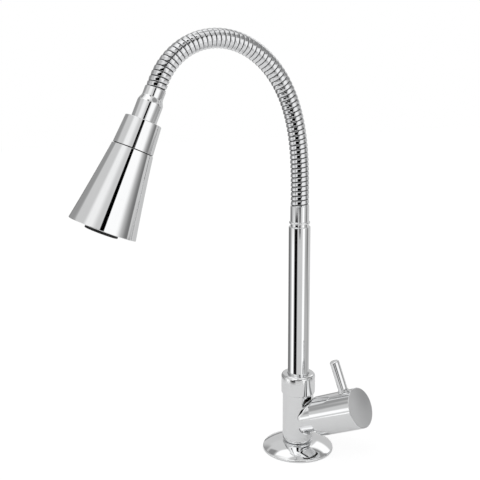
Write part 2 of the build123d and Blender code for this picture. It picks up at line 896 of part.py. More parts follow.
def make_jet_tube():
    # The plastic tube from the selector ports to the aerator
    flange = port_disc_radius + seat_clearance
    tube_radius = jet_tube_diameter / 2
    solid = turned([
        (0, jet_tube_start),
        (flange, jet_tube_start),
        (flange, jet_tube_start + selector_thickness),
        (tube_radius, jet_tube_start + selector_thickness),
        (tube_radius, spray_face_top),
        (jet_tube_bore / 2, spray_face_top),
        (jet_tube_bore / 2, jet_tube_start + selector_thickness),
        (0, jet_tube_start + selector_thickness),
    ])
    return head * (solid - selector_ports(jet_tube_start))


def make_spray_face():
    # The black plate across the cone's mouth, with a ring of spray holes round the aerator's stem
    disc = rod(cone_mouth_diameter / 2, spray_face_top, spray_face_bottom) & cone_inside(spray_face_gap)
    stem = aerator_stem_diameter / 2 + seat_clearance
    disc -= rod(stem, spray_face_top - cut_over, spray_face_bottom + cut_over)
    holes = PolarLocations(spray_hole_circle / 2, spray_hole_count)
    drill = rod(spray_hole_diameter / 2, spray_face_top - cut_over, spray_face_bottom + cut_over)
    drills = [place * drill for place in holes]
    return head * (disc - drills)


def make_aerator():
    # Cup below the spray face and a stem that takes the jet tube
    outer = aerator_diameter / 2
    stem = aerator_stem_diameter / 2
    socket = jet_tube_diameter / 2 + seat_clearance
    return head * turned([
        (socket, spray_face_top - aerator_stem_length),
        (stem, spray_face_top - aerator_stem_length),
        (stem, spray_face_bottom),
        (outer, spray_face_bottom),
        (outer, aerator_end),
        (outer - aerator_wall, aerator_end),
        (outer - aerator_wall, spray_face_bottom + aerator_wall),
        (jet_tube_bore / 2, spray_face_bottom + aerator_wall),
        (jet_tube_bore / 2, spray_face_top),
        (socket, spray_face_top),
    ])


def make_screen():
    radius = aerator_diameter / 2 - aerator_wall - seat_clearance
    bottom = spray_face_bottom + aerator_wall
    disc = rod(radius, bottom, bottom + screen_thickness)
    holes = PolarLocations(screen_hole_circle / 2, screen_hole_count)
    drill = rod(screen_hole_diameter / 2, bottom - cut_over, bottom + screen_thickness + cut_over)
    drills = [place * drill for place in holes]
    return head * (disc - drills)


makers = {
    "flange": make_flange,
    "deck_gasket": make_gasket,
    "shank": make_shank,
    "fixing_washer": make_fixing_washer,
    "backnut": make_backnut,
    "body": make_body,
    "spout_nut": make_collar,
    "valve_body": make_valve_body,
    "seat_seal": make_seat_seal,
    "fixed_disc": make_fixed_disc,
    "moving_disc": make_moving_disc,
    "spindle": make_spindle,
    "spindle_rings": make_spindle_rings,
    "spindle_clip": make_spindle_clip,
    "knob": make_knob,
    "knob_cap": make_knob_cap,
    "knob_screw": make_knob_screw,
    "lever": make_lever,
    "spout_bush": make_spout_bush,
    "spout_rings": make_spout_rings,
    "glide_ring": make_glide_ring,
    "riser_tube": make_riser,
    "lower_ferrule": make_lower_ferrule,
    "hose_neck": make_neck,
    "head_washer": make_head_washer,
    "head_ring": make_head_ring,
    "port_disc": make_port_disc,
    "cone_ring": make_cone_ring,
    "cone_clip": make_cone_clip,
    "head_cone": make_cone,
    "jet_tube": make_jet_tube,
    "spray_face": make_spray_face,
    "aerator": make_aerator,
    "aerator_screen": make_screen,
}

os.makedirs("parts", exist_ok=True)
for name, maker in makers.items():
    export_step(maker(), f"parts/{name}.step")
for number in range(link_count):
    export_step(make_link(number), f"parts/hose_link_{number + 1:02d}.step")
print("hose length", round(link_count * link_pitch, 1), "mm, head at", head.origin)
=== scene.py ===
import bmesh
import bpy
import json
import math
from mathutils import Matrix, Vector


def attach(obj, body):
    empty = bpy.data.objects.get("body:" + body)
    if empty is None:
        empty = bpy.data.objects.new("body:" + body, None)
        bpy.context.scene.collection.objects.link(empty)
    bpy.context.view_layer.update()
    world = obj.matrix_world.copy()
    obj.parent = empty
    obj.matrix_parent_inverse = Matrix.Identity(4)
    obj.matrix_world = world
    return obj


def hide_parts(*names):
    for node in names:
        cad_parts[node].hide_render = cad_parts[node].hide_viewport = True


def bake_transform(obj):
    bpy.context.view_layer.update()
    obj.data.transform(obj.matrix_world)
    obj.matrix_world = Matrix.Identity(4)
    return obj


# Kitchen tap with a ribbed gooseneck hose. Lengths in the tables of the pieces and of the
# view are millimetres, those of the finishes, the floor and the lamp are metres.
# The origin is the centre of the flange on the worktop, +Z up, the spout hangs towards -Y.

mm = 0.001
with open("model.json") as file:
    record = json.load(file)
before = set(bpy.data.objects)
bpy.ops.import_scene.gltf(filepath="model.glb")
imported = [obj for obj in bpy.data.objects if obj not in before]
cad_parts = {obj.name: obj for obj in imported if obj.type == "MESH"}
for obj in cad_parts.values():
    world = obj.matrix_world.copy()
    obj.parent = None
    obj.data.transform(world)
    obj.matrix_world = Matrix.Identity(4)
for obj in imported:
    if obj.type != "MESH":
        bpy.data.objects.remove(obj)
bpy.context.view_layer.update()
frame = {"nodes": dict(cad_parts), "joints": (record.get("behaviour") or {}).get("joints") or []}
joints = {joint["name"]: joint for joint in frame["joints"]}
print("frame loaded,", len(frame["nodes"]), "nodes")

bpy.context.scene.view_settings.view_transform = "Standard"


# places that come from the joints

def standFrame(origin, axis, side):
    # turns and moves a piece that was made round Z at the origin
    up = Vector(axis).normalized()
    across = (Vector(side) - up * up.dot(Vector(side))).normalized()
    third = up.cross(across)
    matrix = Matrix((across, third, up)).transposed().to_4x4()
    matrix.translation = Vector(origin)
    return matrix


bodyPlace = Matrix.Identity(4)
branchAxis = Vector(joints["handle_turn"]["axis"])
branchOrigin = Vector(joints["handle_turn"]["pos_m"])
branchPlace = standFrame(branchOrigin, branchAxis, Vector((0, 0, 1)).cross(branchAxis))
headAxis = Vector(joints["cone_twist"]["axis"])
headOrigin = Vector(joints["cone_twist"]["pos_m"])
headPlace = standFrame(headOrigin, headAxis, (1, 0, 0))
hoseJoints = [joint for joint in frame["joints"] if joint["name"].startswith("hose")]
bendPoints = [Vector(joint["pos_m"]) for joint in hoseJoints]


# finishes

finishes = {
    "polishedChrome": {
        "colour": (0.885, 0.89, 0.895), "metallic": 1.0, "roughness": 0.03, "smudge": 0.035,
        "smudgeScale": 55, "tint": 0.03, "bump": 0.000004, "bumpScale": 140, "grainScale": 2600},
    "hoseChrome": {
        "colour": (0.76, 0.765, 0.775), "metallic": 1.0, "roughness": 0.06, "smudge": 0.06,
        "smudgeScale": 80, "tint": 0.06, "bump": 0.000006, "bumpScale": 260, "grainScale": 3200},
    "hoseShadow": {
        "colour": (0.02, 0.02, 0.022), "metallic": 0.0, "roughness": 0.6, "smudge": 0.1,
        "smudgeScale": 90, "tint": 0.2, "bump": 0.00001, "bumpScale": 800, "grainScale": 3000},
    "valveBrass": {
        "colour": (0.5, 0.46, 0.38), "metallic": 1.0, "roughness": 0.38, "smudge": 0.12,
        "smudgeScale": 90, "tint": 0.12, "bump": 0.00001, "bumpScale": 700, "grainScale": 4000},
    "plainBrass": {
        "colour": (0.78, 0.6, 0.3), "metallic": 1.0, "roughness": 0.28, "smudge": 0.14,
        "smudgeScale": 90, "tint": 0.12, "bump": 0.00001, "bumpScale": 700, "grainScale": 4000},
    "bareSteel": {
        "colour": (0.62, 0.62, 0.63), "metallic": 1.0, "roughness": 0.3, "smudge": 0.12,
        "smudgeScale": 120, "tint": 0.08, "bump": 0.000008, "bumpScale": 900, "grainScale": 5000},
    "blackRubber": {
        "colour": (0.03, 0.03, 0.031), "metallic": 0.0, "roughness": 0.72, "smudge": 0.12,
        "smudgeScale": 70, "tint": 0.25, "bump": 0.00002, "bumpScale": 900, "grainScale": 3000},
    "blackPlastic": {
        "colour": (0.012, 0.012, 0.013), "metallic": 0.0, "roughness": 0.5, "smudge": 0.12,
        "smudgeScale": 90, "tint": 0.2, "bump": 0.000015, "bumpScale": 1300, "grainScale": 4200},
    "whitePlastic": {
        "colour": (0.82, 0.82, 0.8), "metallic": 0.0, "roughness": 0.45, "smudge": 0.1,
        "smudgeScale": 80, "tint": 0.05, "bump": 0.00001, "bumpScale": 1100, "grainScale": 3600},
    "whiteCeramic": {
        "colour": (0.9, 0.89, 0.86), "metallic": 0.0, "roughness": 0.12, "smudge": 0.06,
        "smudgeScale": 60, "tint": 0.04, "bump": 0.000003, "bumpScale": 500, "grainScale": 3000},
}


# what these finishes share: handling marks, the grain of the polish and slow waves
surface = {
    "markDetail": 5, "markRoughness": 0.62, "glossEnds": (0.42, 0.78), "tintEnds": (0.3, 0.8),
    "grainDetail": 2, "grainShare": 0.35, "waveDetail": 3}


def addNode(tree, kind, **values):
    node = tree.nodes.new(kind)
    for name, value in values.items():
        setattr(node, name, value)
    return node


def addMaterial(name):
    material = bpy.data.materials.new(name)
    material.use_nodes = True
    return material, material.node_tree, material.node_tree.nodes["Principled BSDF"]


def addNoise(tree, source, scale, detail, socket="Vector", **values):
    noise = addNode(tree, "ShaderNodeTexNoise", **values)
    noise.inputs["Scale"].default_value = scale
    noise.inputs["Detail"].default_value = detail
    tree.links.new(source, noise.inputs[socket])
    return noise


def addRange(tree, source, ends, results, **values):
    # what lies between the two ends comes out between the two results
    remap = addNode(tree, "ShaderNodeMapRange", **values)
    for name, number in zip(("From Min", "From Max", "To Min", "To Max"), (*ends, *results)):
        remap.inputs[name].default_value = number
    tree.links.new(source, remap.inputs["Value"])
    return remap.outputs["Result"]


def addColour(tree, shader, colour, shade):
    mix = addNode(tree, "ShaderNodeMix", data_type="RGBA", blend_type="MULTIPLY")
    mix.inputs["Factor"].default_value = 1.0
    mix.inputs["A"].default_value = (*colour, 1)
    tree.links.new(shade, mix.inputs["B"])
    tree.links.new(mix.outputs["Result"], shader.inputs["Base Color"])


def addBump(tree, shader, height, distance):
    bump = addNode(tree, "ShaderNodeBump")
    bump.inputs["Distance"].default_value = distance
    tree.links.new(height, bump.inputs["Height"])
    tree.links.new(bump.outputs["Normal"], shader.inputs["Normal"])


def makeFinish(name, look):
    material, tree, shader = addMaterial(name)
    shader.inputs["Metallic"].default_value = look["metallic"]
    place = addNode(tree, "ShaderNodeTexCoord").outputs["Object"]
    # soft handling marks change the gloss, and a little the colour
    marks = addNoise(tree, place, look["smudgeScale"], surface["markDetail"])
    marks.inputs["Roughness"].default_value = surface["markRoughness"]
    results = (look["roughness"], look["roughness"] + look["smudge"])
    gloss = addRange(tree, marks.outputs["Fac"], surface["glossEnds"], results)
    # fine grain, as polishing or the mould leaves it
    grain = addNoise(tree, place, look["grainScale"], surface["grainDetail"])
    blend = addNode(tree, "ShaderNodeMath", operation="MULTIPLY_ADD")
    blend.inputs[1].default_value = look["smudge"] * surface["grainShare"]
    tree.links.new(grain.outputs["Fac"], blend.inputs[0])
    tree.links.new(gloss, blend.inputs[2])
    tree.links.new(blend.outputs[0], shader.inputs["Roughness"])
    shade = addRange(tree, marks.outputs["Fac"], surface["tintEnds"], (1.0, 1.0 - look["tint"]))
    addColour(tree, shader, look["colour"], shade)
    # slow waviness of the surface
    wave = addNoise(tree, place, look["bumpScale"], surface["waveDetail"])
    addBump(tree, shader, wave.outputs["Fac"], look["bump"])
    return material


materials = {name: makeFinish(name, look) for name, look in finishes.items()}

satinFace = {
    "colour": (0.74, 0.745, 0.75), "roughness": 0.28, "ringScale": 5200, "ringDetail": 4,
    "ringBump": 0.00003, "ringGloss": 0.12, "markScale": 45, "markDetail": 4,
    "glossEnds": (0.6, 1.4), "tintEnds": (0.3, 0.7), "tint": 0.07}


def makeSatinFace(look):
    # turned face: fine rings round the knob's own axis
    material, tree, shader = addMaterial("satinFace")
    shader.inputs["Metallic"].default_value = 1.0
    place = addNode(tree, "ShaderNodeTexCoord").outputs["Object"]
    turn = addNode(tree, "ShaderNodeMapping", vector_type="TEXTURE")
    turn.inputs["Location"].default_value = branchOrigin
    turn.inputs["Rotation"].default_value = branchPlace.to_euler()
    tree.links.new(place, turn.inputs["Vector"])
    flat = addNode(tree, "ShaderNodeVectorMath", operation="MULTIPLY")
    flat.inputs[1].default_value = (1, 1, 0)
    tree.links.new(turn.outputs["Vector"], flat.inputs[0])
    radius = addNode(tree, "ShaderNodeVectorMath", operation="LENGTH")
    tree.links.new(flat.outputs["Vector"], radius.inputs[0])
    rings = addNoise(
        tree, radius.outputs["Value"], look["ringScale"], look["ringDetail"], socket="W",
        noise_dimensions="1D")
    marks = addNoise(tree, place, look["markScale"], look["markDetail"])
    both = addNode(tree, "ShaderNodeMath", operation="ADD")
    tree.links.new(rings.outputs["Fac"], both.inputs[0])
    tree.links.new(marks.outputs["Fac"], both.inputs[1])
    results = (look["roughness"], look["roughness"] + look["ringGloss"])
    gloss = addRange(tree, both.outputs[0], look["glossEnds"], results)
    tree.links.new(gloss, shader.inputs["Roughness"])
    shade = addRange(tree, marks.outputs["Fac"], look["tintEnds"], (1.0, 1.0 - look["tint"]))
    addColour(tree, shader, look["colour"], shade)
    addBump(tree, shader, rings.outputs["Fac"], look["ringBump"])
    return material


materials["satinFace"] = makeSatinFace(satinFace)
print("finishes made:", len(materials))


# CAD pieces that are shown as they are

cadFinishes = {
    "deck_gasket": "blackRubber", "fixing_washer": "bareSteel", "backnut": "plainBrass",
    "valve_body": "valveBrass", "seat_seal": "blackRubber", "fixed_disc": "whiteCeramic",
    "moving_disc": "whiteCeramic", "spindle": "plainBrass", "spindle_rings": "blackRubber",
    "spindle_clip": "bareSteel", "knob_screw": "bareSteel", "spout_bush": "plainBrass",
    "spout_rings": "blackRubber", "glide_ring": "whitePlastic", "head_washer": "blackRubber",
    "port_disc": "whitePlastic", "cone_ring": "blackRubber", "cone_clip": "bareSteel",
    "jet_tube": "whitePlastic", "spray_face": "blackPlastic", "aerator_screen": "bareSteel"}

for nodeName, node in frame["nodes"].items():
    finish = cadFinishes.get(nodeName, "polishedChrome")
    node.data.materials.clear()
    node.data.materials.append(materials[finish])


# making pieces

sharpAngle = math.radians(38)
mergeDistance = 0.0000001  # metres
circleSlack = 0.02  # mm that an edge may lie off the circle that is rounded


def finishPiece(bm, name, place, finish, body, node):
    bmesh.ops.transform(bm, matrix=place, verts=bm.verts)
    for edge in bm.edges:
        if len(edge.link_faces) == 2 and edge.calc_face_angle(0) > sharpAngle:
            edge.smooth = False
    mesh = bpy.data.meshes.new(name)
    bm.to_mesh(mesh)
    bm.free()
    for face in mesh.polygons:
        face.use_smooth = True
    piece = bpy.data.objects.new(name, mesh)
    bpy.context.scene.collection.objects.link(piece)
    mesh.materials.append(materials[finish])
    weigh = piece.modifiers.new("cleanShading", "WEIGHTED_NORMAL")
    weigh.keep_sharp = True
    weigh.weight = 100
    if body:
        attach(piece, body)
    if node:
        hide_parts(node)
    return piece


def spinOutline(bm, outline, steps):
    # an outline that ends on the axis at both ends stays open there
    solid = outline[0][0] == 0 and outline[-1][0] == 0
    verts = [bm.verts.new((radius * mm, 0, height * mm)) for radius, height in outline]
    pairs = list(zip(verts, verts[1:]))
    if not solid:
        pairs.append((verts[-1], verts[0]))
    edges = [bm.edges.new(pair) for pair in pairs]
    bmesh.ops.spin(
        bm, geom=verts + edges, cent=(0, 0, 0), axis=(0, 0, 1), angle=math.tau, steps=steps,
        use_merge=True)
    bmesh.ops.remove_doubles(bm, verts=bm.verts, dist=mergeDistance)
    bmesh.ops.dissolve_degenerate(bm, edges=bm.edges, dist=mergeDistance)
    bmesh.ops.recalc_face_normals(bm, faces=bm.faces)


def roundLoops(bm, loops):
    # rounds the circles of the given radius and height, each with its size and segments
    for radius, height, size, segments in loops:
        chosen = []
        for edge in bm.edges:
            ends = [(v.co.xy.length / mm, v.co.z / mm) for v in edge.verts]
            if all(max(abs(r - radius), abs(z - height)) < circleSlack for r, z in ends):
                chosen.append(edge)
        bmesh.ops.bevel(
            bm, geom=chosen, offset=size * mm, offset_type="OFFSET", segments=segments,
            profile=0.5, affect="EDGES", material=-1)


def joinShell(bm, shell):
    # puts a second shell into the same piece
    mesh = bpy.data.meshes.new("shell")
    shell.to_mesh(mesh)
    shell.free()
    bm.from_mesh(mesh)
    bpy.data.meshes.remove(mesh)


def turnPiece(name, outline, place, finish, body, node, steps=96, rounds=()):
    bm = bmesh.new()
    spinOutline(bm, outline, steps)
    roundLoops(bm, rounds)
    return finishPiece(bm, name, place, finish, body, node)


def arcThrough(start, middle, end, steps):
    # points on the circle through three points of an outline
    (ax, ay), (bx, by), (cx, cy) = start, middle, end
    d = 2 * (ax * (by - cy) + bx * (cy - ay) + cx * (ay - by))
    a2, b2, c2 = ax * ax + ay * ay, bx * bx + by * by, cx * cx + cy * cy
    ux = (a2 * (by - cy) + b2 * (cy - ay) + c2 * (ay - by)) / d
    uy = (a2 * (cx - bx) + b2 * (ax - cx) + c2 * (bx - ax)) / d
    radius = math.hypot(ax - ux, ay - uy)
    first = math.atan2(ay - uy, ax - ux)
    last = math.atan2(cy - uy, cx - ux)
    if last - first > math.pi:
        last -= math.tau
    if first - last > math.pi:
        last += math.tau
    points = []
    for step in range(steps + 1):
        angle = first + (last - first) * step / steps
        points.append((ux + radius * math.cos(angle), uy + radius * math.sin(angle)))
    return points


# flange, body and spout nut

flange = {
    "rim": 32.25, "rimHeight": 2.0, "crown": 14.5, "height": 8.0, "bulge": 1.1, "hole": 10.88,
    "recess": 28.4, "recessDepth": 2.0, "rimRound": 0.75, "footRound": 0.35, "domeSteps": 22}

dome = arcThrough(
    (flange["rim"], flange["rimHeight"]),
    ((flange["rim"] + flange["crown"]) / 2,
     (flange["rimHeight"] + flange["height"]) / 2 + flange["bulge"]),
    (flange["crown"], flange["height"]), flange["domeSteps"])
turnPiece(
    "flangePlate",
    [(flange["rim"], 0)] + dome + [
        (flange["hole"], flange["height"]), (flange["hole"], flange["recessDepth"]),
        (flange["recess"], flange["recessDepth"]), (flange["recess"], 0)],
    bodyPlace, "polishedChrome", "root", "flange", steps=128,
    rounds=[(flange["rim"], flange["rimHeight"], flange["rimRound"], 5),
            (flange["rim"], 0, flange["footRound"], 3)])

barrel = {
    "radius": 14.0, "bottom": 8.0, "top": 54.5, "footRound": 3.0, "spigot": 12.0,
    "spigotTop": 66.0, "socket": 10.53, "chamber": 9.05, "chamberBottom": 43.0,
    "way": 5.0, "shankTop": 16.0}
boss = {
    "radius": 12.5, "length": 26.0, "round": 0.6, "start": 4.0, "bore": 10.53, "boreDepth": 9.5}

bm = bmesh.new()
spinOutline(bm, [
    (barrel["socket"], barrel["bottom"]), (barrel["radius"], barrel["bottom"]),
    (barrel["radius"], barrel["top"]), (barrel["spigot"], barrel["top"]),
    (barrel["spigot"], barrel["spigotTop"]), (barrel["chamber"], barrel["spigotTop"]),
    (barrel["chamber"], barrel["chamberBottom"]), (barrel["way"], barrel["chamberBottom"]),
    (barrel["way"], barrel["shankTop"]), (barrel["socket"], barrel["shankTop"])], steps=128)
roundLoops(bm, [(barrel["radius"], barrel["bottom"], barrel["footRound"], 7)])
bossShell = bmesh.new()
spinOutline(bossShell, [
    (0, boss["start"]), (boss["radius"], boss["start"]), (boss["radius"], boss["length"]),
    (boss["bore"], boss["length"]), (boss["bore"], boss["length"] - boss["boreDepth"]),
    (0, boss["length"] - boss["boreDepth"])], steps=96)
roundLoops(bossShell, [(boss["radius"], boss["length"], boss["round"], 4)])
bmesh.ops.transform(bossShell, matrix=branchPlace, verts=bossShell.verts)
joinShell(bm, bossShell)

# the hollow round between boss and barrel: a ring spun on the branch and drawn onto both
hollow = {"reach": 3.2, "arcSteps": 10, "steps": 96, "sink": 0.5, "liftLimit": 0.6}
ringShell = bmesh.new()
arcVerts = []
for step in range(hollow["arcSteps"] + 2):
    arcVerts.append(ringShell.verts.new((boss["radius"] * mm, 0, step * mm)))
arcEdges = [ringShell.edges.new(pair) for pair in zip(arcVerts, arcVerts[1:] + arcVerts[:1])]
bmesh.ops.spin(
    ringShell, geom=arcVerts + arcEdges, cent=(0, 0, 0), axis=(0, 0, 1), angle=math.tau,
    steps=hollow["steps"], use_merge=True)
bmesh.ops.remove_doubles(ringShell, verts=ringShell.verts, dist=mergeDistance)
for vert in ringShell.verts:
    # until it is drawn onto them, a vertex stands as high as its step; the last one is sunk
    step = round(vert.co.z / mm)
    bossNormal = (branchPlace.to_3x3() @ Vector((vert.co.x, vert.co.y, 0))).normalized()
    start = branchOrigin + bossNormal * boss["radius"] * mm
    # where this line of the boss leaves the barrel
    along, across = branchAxis.xy, start.xy
    a, b = along.dot(along), 2 * along.dot(across)
    c = across.dot(across) - (barrel["radius"] * mm) ** 2
    corner = start + branchAxis * ((-b + math.sqrt(b * b - 4 * a * c)) / (2 * a))
    wallNormal = Vector((corner.x, corner.y, 0)).normalized()
    wallWay = (bossNormal - wallNormal * bossNormal.dot(wallNormal)).normalized()
    length = hollow["reach"] * mm
    wallEnd = corner + wallWay * length
    turn = math.atan2(wallWay.xy.length * length, barrel["radius"] * mm)
    flat = wallEnd.xy.normalized() * barrel["radius"] * mm
    wallEnd = Vector((flat.x, flat.y, wallEnd.z))
    lift = barrel["radius"] * mm * (1 / math.cos(turn) - 1) / branchAxis.dot(wallNormal)
    bossEnd = corner + branchAxis * length
    middle = corner + branchAxis * min(lift, length * hollow["liftLimit"])
    if step > hollow["arcSteps"]:
        vert.co = corner - (bossNormal + wallNormal) * hollow["sink"] * mm
    else:
        t = step / hollow["arcSteps"]
        vert.co = bossEnd * (1 - t) ** 2 + middle * 2 * t * (1 - t) + wallEnd * t * t
bmesh.ops.recalc_face_normals(ringShell, faces=ringShell.faces)
joinShell(bm, ringShell)
finishPiece(bm, "bodyCasting", bodyPlace, "polishedChrome", "root", "body")

spoutNut = {
    "radius": 15.3, "bottom": 54.85, "top": 73.2, "round": 2.6, "lip": 3.2, "hole": 9.825,
    "thread": 12.05, "footRound": 0.7, "holeRound": 0.3}
turnPiece(
    "spoutNut",
    [(spoutNut["thread"], spoutNut["bottom"]), (spoutNut["radius"], spoutNut["bottom"]),
     (spoutNut["radius"], spoutNut["top"]), (spoutNut["hole"], spoutNut["top"]),
     (spoutNut["hole"], spoutNut["top"] - spoutNut["lip"]),
     (spoutNut["thread"], spoutNut["top"] - spoutNut["lip"])],
    bodyPlace, "polishedChrome", "root", "spout_nut", steps=112,
    rounds=[(spoutNut["radius"], spoutNut["top"], spoutNut["round"], 8),
            (spoutNut["radius"], spoutNut["bottom"], spoutNut["footRound"], 3),
            (spoutNut["hole"], spoutNut["top"], spoutNut["holeRound"], 3)])
print("flange, body and spout nut made")


# threaded shank below the worktop

shank = {
    "radius": 10.4775, "root": 9.5, "bore": 6.0, "bottom": -55.0, "top": 15.98, "pitch": 1.814,
    "threadTop": -2.0, "reliefBottom": -33.0, "reliefTop": -31.0, "relief": 9.68, "steps": 40,
    "ridgeShare": 0.46, "ridgeSink": 0.3, "crestSink": 0.02, "crestHalf": 0.14,
    "startGap": 1.6, "belowGap": 0.6, "aboveGap": 1.0, "endGap": 0.9}


def addThread(bm, bottom, top):
    # one ridge wound up the shank
    turns = int((top - bottom) / shank["pitch"])
    half = shank["pitch"] * shank["ridgeShare"]
    foot, crest = shank["root"] - shank["ridgeSink"], shank["radius"] - shank["crestSink"]
    ridge = [
        (foot, bottom - half), (shank["root"], bottom - half),
        (crest, bottom - shank["crestHalf"]), (crest, bottom + shank["crestHalf"]),
        (shank["root"], bottom + half), (foot, bottom + half)]
    verts = [bm.verts.new((radius * mm, 0, height * mm)) for radius, height in ridge]
    edges = [bm.edges.new(pair) for pair in zip(verts, verts[1:] + verts[:1])]
    bmesh.ops.spin(
        bm, geom=verts + edges, cent=(0, 0, 0), axis=(0, 0, 1), angle=math.tau * turns,
        dvec=(0, 0, shank["pitch"] * mm / shank["steps"]), steps=turns * shank["steps"])
    ends = [edge for edge in bm.edges if edge.is_boundary]
    bmesh.ops.holes_fill(bm, edges=ends, sides=0)


bm = bmesh.new()
spinOutline(bm, [
    (shank["bore"], shank["bottom"]), (shank["root"], shank["bottom"]),
    (shank["root"], shank["reliefBottom"]), (shank["relief"], shank["reliefBottom"]),
    (shank["relief"], shank["reliefTop"]), (shank["root"], shank["reliefTop"]),
    (shank["root"], shank["threadTop"]), (shank["radius"], shank["threadTop"]),
    (shank["radius"], shank["top"]), (shank["bore"], shank["top"])], steps=80)
addThread(bm, shank["bottom"] + shank["startGap"], shank["reliefBottom"] - shank["belowGap"])
addThread(bm, shank["reliefTop"] + shank["aboveGap"], shank["threadTop"] - shank["endGap"])
bmesh.ops.recalc_face_normals(bm, faces=bm.faces)
finishPiece(bm, "threadedShank", bodyPlace, "plainBrass", "root", "shank")
print("shank made")


# knob, cap and lever

knob = {
    "radius": 17.7, "start": 26.8, "end": 70.9, "wall": 2.6, "skirt": 20.0, "cap": 17.17,
    "capDepth": 1.7, "pocket": 8.5, "pocketDepth": 9.0, "screwHole": 2.2, "spindle": 4.02,
    "spindleEnd": 58.2, "round": 0.45, "skirtRound": 0.45}
turnPiece(
    "knobShell",
    [(knob["radius"] - knob["wall"], knob["start"]), (knob["radius"], knob["start"]),
     (knob["radius"], knob["end"]), (knob["cap"], knob["end"]),
     (knob["cap"], knob["end"] - knob["capDepth"]),
     (knob["pocket"], knob["end"] - knob["capDepth"]),
     (knob["pocket"], knob["end"] - knob["capDepth"] - knob["pocketDepth"]),
     (knob["screwHole"], knob["end"] - knob["capDepth"] - knob["pocketDepth"]),
     (knob["screwHole"], knob["spindleEnd"]), (knob["spindle"], knob["spindleEnd"]),
     (knob["spindle"], knob["start"] + knob["skirt"]),
     (knob["radius"] - knob["wall"], knob["start"] + knob["skirt"])],
    branchPlace, "polishedChrome", "handle", "knob", steps=128,
    rounds=[(knob["radius"], knob["end"], knob["round"], 4),
            (knob["radius"], knob["start"], knob["skirtRound"], 3)])

knobCap = {
    "radius": 17.15, "bottom": 69.2, "top": 71.05, "round": 0.14, "lip": 0.35, "dish": 1.5,
    "dishSteps": 16}
dish = []
for step in range(knobCap["dishSteps"] + 1):
    share = 1 - step / knobCap["dishSteps"]
    dish.append((
        (knobCap["radius"] - knobCap["lip"]) * share,
        knobCap["top"] - knobCap["dish"] * (1 - share * share)))
turnPiece(
    "knobCap",
    [(0, knobCap["bottom"]), (knobCap["radius"], knobCap["bottom"]),
     (knobCap["radius"], knobCap["top"])] + dish,
    branchPlace, "satinFace", "handle", "knob_cap", steps=112,
    rounds=[(knobCap["radius"], knobCap["top"], knobCap["round"], 2)])

lever = {
    "radius": 4.2, "length": 28.3, "place": 60.8, "lean": 6.5, "turn": 5.0, "tip": 1.4,
    "foot": 5.0, "footHeight": 0.9, "footSink": 0.6, "footRound": 0.35, "stud": 2.5,
    "studDepth": 4.6}
leanAngle, turnAngle = math.radians(lever["lean"]), math.radians(lever["turn"])
leverSide = Vector((-math.sin(turnAngle), math.cos(turnAngle), 0))
leverAxis = leverSide * math.cos(leanAngle) + Vector((0, 0, math.sin(leanAngle)))
leverFoot = leverSide * knob["radius"] * mm + Vector((0, 0, lever["place"] * mm))
leverPlace = branchPlace @ standFrame(leverFoot, leverAxis, (0, 0, 1))
turnPiece(
    "leverPin",
    [(0, -lever["studDepth"]), (lever["stud"], -lever["studDepth"]),
     (lever["stud"], -lever["footSink"]), (lever["foot"], -lever["footSink"]),
     (lever["foot"], lever["footHeight"]), (lever["radius"], lever["footHeight"]),
     (lever["radius"], lever["length"]), (0, lever["length"])],
    leverPlace, "polishedChrome", "handle", "lever", steps=72,
    rounds=[(lever["radius"], lever["length"], lever["tip"], 4),
            (lever["foot"], lever["footHeight"], lever["footRound"], 3)])
print("knob and lever made")


# riser and ferrule

riser = {"radius": 9.525, "bore": 8.325, "bottom": 67.9, "top": 209.2, "round": 0.9}
turnPiece(
    "riserTube",
    [(riser["bore"], riser["bottom"]), (riser["radius"], riser["bottom"]),
     (riser["radius"], riser["top"]), (riser["bore"], riser["top"])],
    bodyPlace, "polishedChrome", "spout", "riser_tube", steps=112,
    rounds=[(riser["radius"], riser["top"], riser["round"], 5)])

ferrule = {
    "bore": 5.6, "plug": 8.3, "plugBottom": 200.2, "riserTop": 209.2, "neck": 8.0,
    "bead": 9.15, "beadBottom": 211.4, "beadTop": 213.6, "beadRound": 0.9, "sleeve": 8.2,
    "top": 227.25, "topRound": 0.3}
turnPiece(
    "lowerFerrule",
    [(ferrule["bore"], ferrule["plugBottom"]), (ferrule["plug"], ferrule["plugBottom"]),
     (ferrule["plug"], ferrule["riserTop"]), (ferrule["neck"], ferrule["riserTop"]),
     (ferrule["neck"], ferrule["beadBottom"]), (ferrule["bead"], ferrule["beadBottom"]),
     (ferrule["bead"], ferrule["beadTop"]), (ferrule["sleeve"], ferrule["beadTop"]),
     (ferrule["sleeve"], ferrule["top"]), (ferrule["bore"], ferrule["top"])],
    bodyPlace, "polishedChrome", "spout", "lower_ferrule", steps=96,
    rounds=[(ferrule["bead"], ferrule["beadBottom"], ferrule["beadRound"], 5),
            (ferrule["bead"], ferrule["beadTop"], ferrule["beadRound"], 5),
            (ferrule["sleeve"], ferrule["top"], ferrule["topRound"], 3)])
print("riser and ferrule made")
